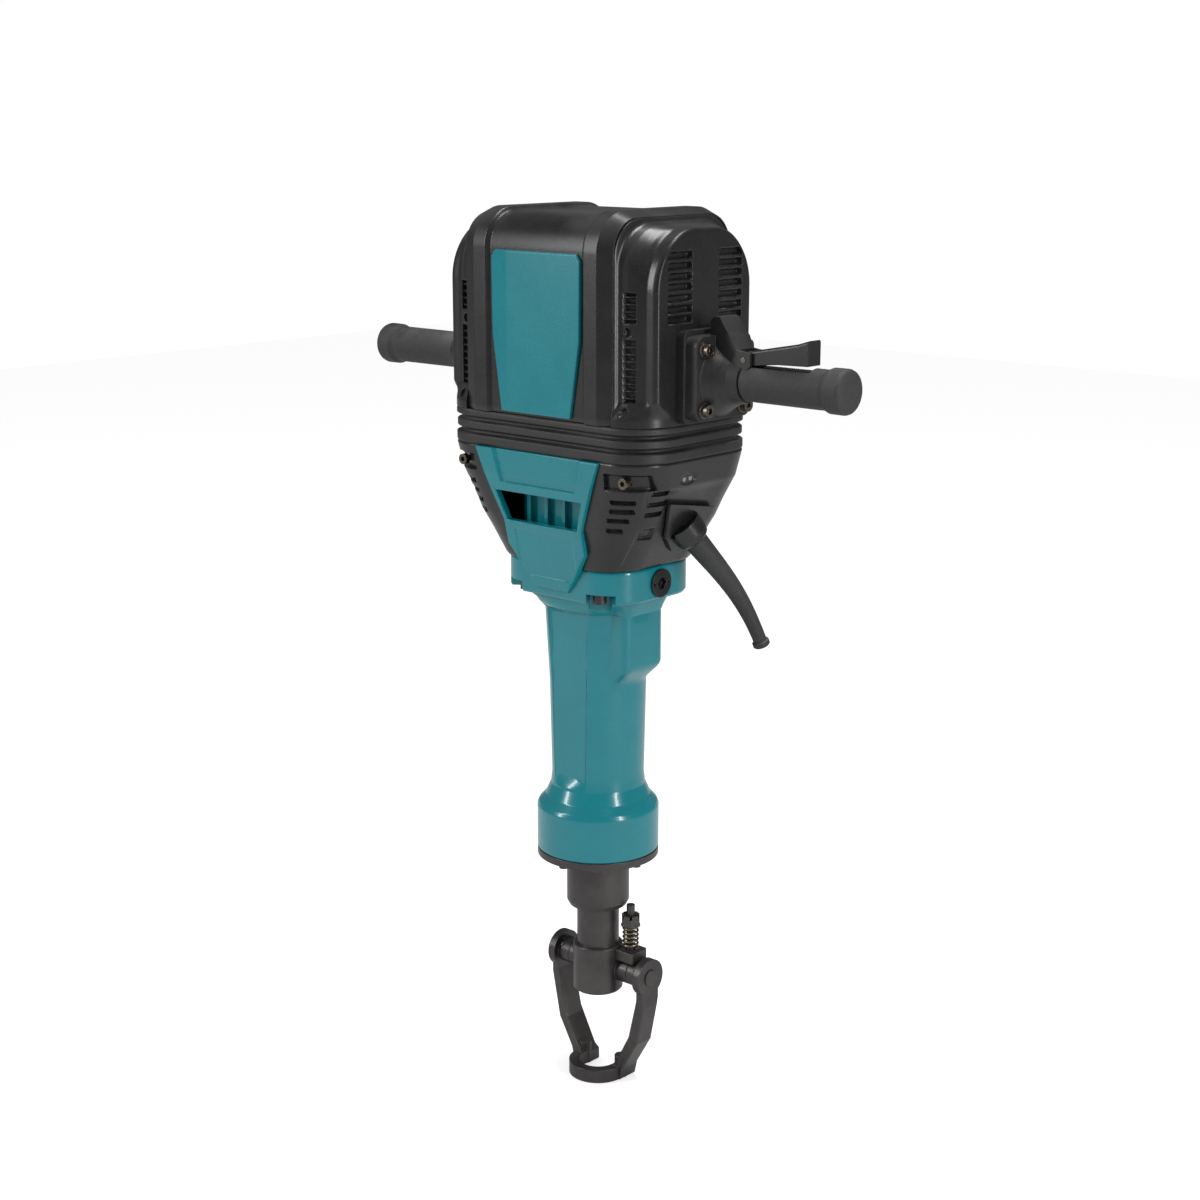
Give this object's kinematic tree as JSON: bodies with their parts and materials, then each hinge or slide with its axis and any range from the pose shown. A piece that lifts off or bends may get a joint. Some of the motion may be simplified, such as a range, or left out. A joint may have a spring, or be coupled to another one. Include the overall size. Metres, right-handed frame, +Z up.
{
  "type": "electric breaker hammer",
  "caption": "Upright electric breaker hammer with a cushioned motor hood, side grips, hex tool socket and a swing-down tool retainer.",
  "frame": {"origin": "on the hammer axis at the mouth of the tool holder", "axes": "+Z up the hammer axis, -Y to the badge side, +X towards the grip with the switch lever"},
  "size_m": [0.629, 0.1915, 0.9425],
  "materials": {
    "teal_casting": "gloss paint on cast aluminium",
    "teal_plastic": "gloss moulded",
    "black_plastic": "satin moulded",
    "grey_plastic": "matt moulded",
    "boot_rubber": "matt",
    "grip_rubber": "matt textured",
    "black_casting": "satin powder coat on cast aluminium",
    "bare_aluminium": "as cast",
    "phosphated_steel": "dark phosphated",
    "machined_steel": "ground",
    "bolt_steel": "yellowed zinc",
    "spring_steel": "oiled",
    "windings": "varnished",
    "lamp_lens": "clear lens"
  },
  "bodies": {
    "main": {"tool_holder": "phosphated_steel", "holder_key": "phosphated_steel", "buffer_ring": "boot_rubber", "guide_sleeve": "machined_steel", "cylinder": "machined_steel", "barrel_housing": "teal_casting", "oil_cap": "black_plastic", "front_flange": "phosphated_steel", "flange_bolts": "phosphated_steel", "collar_bolts": "phosphated_steel", "crank_case": "teal_casting", "gear_cover": "bare_aluminium", "rolling_bearings": "machined_steel", "motor_case": "black_plastic", "stator": "windings", "brush_gear": "black_plastic", "lower_left_cover": "black_plastic", "lower_right_cover": "black_plastic", "lower_rear_cover": "black_plastic", "indicator_lamps": "lamp_lens", "lower_cover_bolts": "bolt_steel", "front_grip_cover": "teal_plastic", "bellows": "boot_rubber", "cord_guard": "grip_rubber", "cord_clamp": "black_plastic", "damper_springs": "spring_steel", "lock_stud": "phosphated_steel", "lock_nut": "phosphated_steel", "lock_spring": "spring_steel"},
    "hood": {"front_cover": "black_plastic", "rear_cover": "black_plastic", "left_side_cover": "black_plastic", "right_side_cover": "black_plastic", "hood_screws": "bolt_steel", "vent_louvres": "grey_plastic", "badge_plate": "teal_plastic", "hood_frame": "bare_aluminium", "left_handle_bracket": "black_casting", "right_handle_bracket": "black_casting", "handle_bolts": "bolt_steel", "left_grip": "grip_rubber", "right_grip": "grip_rubber", "lever_pin": "bolt_steel", "switch_unit": "black_plastic"},
    "switch": {"switch_lever": "black_plastic"},
    "retainer": {"retainer_yoke": "phosphated_steel", "retainer_pins": "phosphated_steel"},
    "lock": {"lock_block": "phosphated_steel"},
    "armature": {"armature_shaft": "machined_steel", "armature_core": "windings", "cooling_fan": "black_plastic"},
    "layshaft": {"layshaft": "machined_steel", "layshaft_wheel": "machined_steel"},
    "crank": {"crankshaft": "machined_steel", "crank_gear": "machined_steel"},
    "piston": {"piston": "bare_aluminium", "gudgeon_pin": "machined_steel"},
    "rod": {"connecting_rod": "machined_steel"},
    "striker": {"striker": "machined_steel"},
    "impact_bolt": {"impact_bolt": "machined_steel"}
  },
  "joints": [
    {"name": "hood_float", "type": "slide", "parent": "main", "child": "hood", "axis": [0, 0, 1], "range_m": [-0.01, 0], "stiffness_N_per_m": 20000, "springref_m": 0.012, "deforming": ["bellows", "damper_springs"]},
    {"name": "switch_press", "type": "hinge", "parent": "hood", "child": "switch", "pos_m": [0.198, 0, 0.704], "axis": [0, 1, 0], "range_deg": [0, 9], "stiffness_Nm_per_rad": 0.8, "springref_deg": -17.19},
    {"name": "retainer_swing", "type": "hinge", "parent": "main", "child": "retainer", "pos_m": [0, 0.011, 0.025], "axis": [-1, 0, 0], "range_deg": [0, 110]},
    {"name": "lock_lift", "type": "slide", "parent": "main", "child": "lock", "axis": [0, 0, 1], "range_m": [0, 0.003], "stiffness_N_per_m": 4000, "springref_m": -0.005, "deforming": ["lock_spring"]},
    {"name": "armature_spin", "type": "hinge", "parent": "main", "child": "armature", "pos_m": [0, 0, 0.7522], "axis": [1, 0, 0], "continuous": true},
    {"name": "layshaft_spin", "type": "hinge", "parent": "main", "child": "layshaft", "pos_m": [0, 0, 0.698], "axis": [1, 0, 0], "continuous": true},
    {"name": "crank_spin", "type": "hinge", "parent": "main", "child": "crank", "pos_m": [0, 0, 0.63405], "axis": [1, 0, 0], "continuous": true},
    {"name": "piston_slide", "type": "slide", "parent": "main", "child": "piston", "axis": [0, 0, 1], "range_m": [0, 0.032]},
    {"name": "rod_swing", "type": "hinge", "parent": "piston", "child": "rod", "pos_m": [0, 0, 0.51305], "axis": [1, 0, 0], "range_deg": [-8.8, 8.8]},
    {"name": "striker_slide", "type": "slide", "parent": "main", "child": "striker", "axis": [0, 0, 1], "range_m": [0, 0.04]},
    {"name": "impact_bolt_slide", "type": "slide", "parent": "main", "child": "impact_bolt", "axis": [0, 0, 1], "range_m": [0, 0.01]}
  ],
  "couplings": [
    {"joint": "layshaft_spin", "follows": "armature_spin", "ratio": -0.22727},
    {"joint": "crank_spin", "follows": "armature_spin", "ratio": 0.0625}
  ]
}
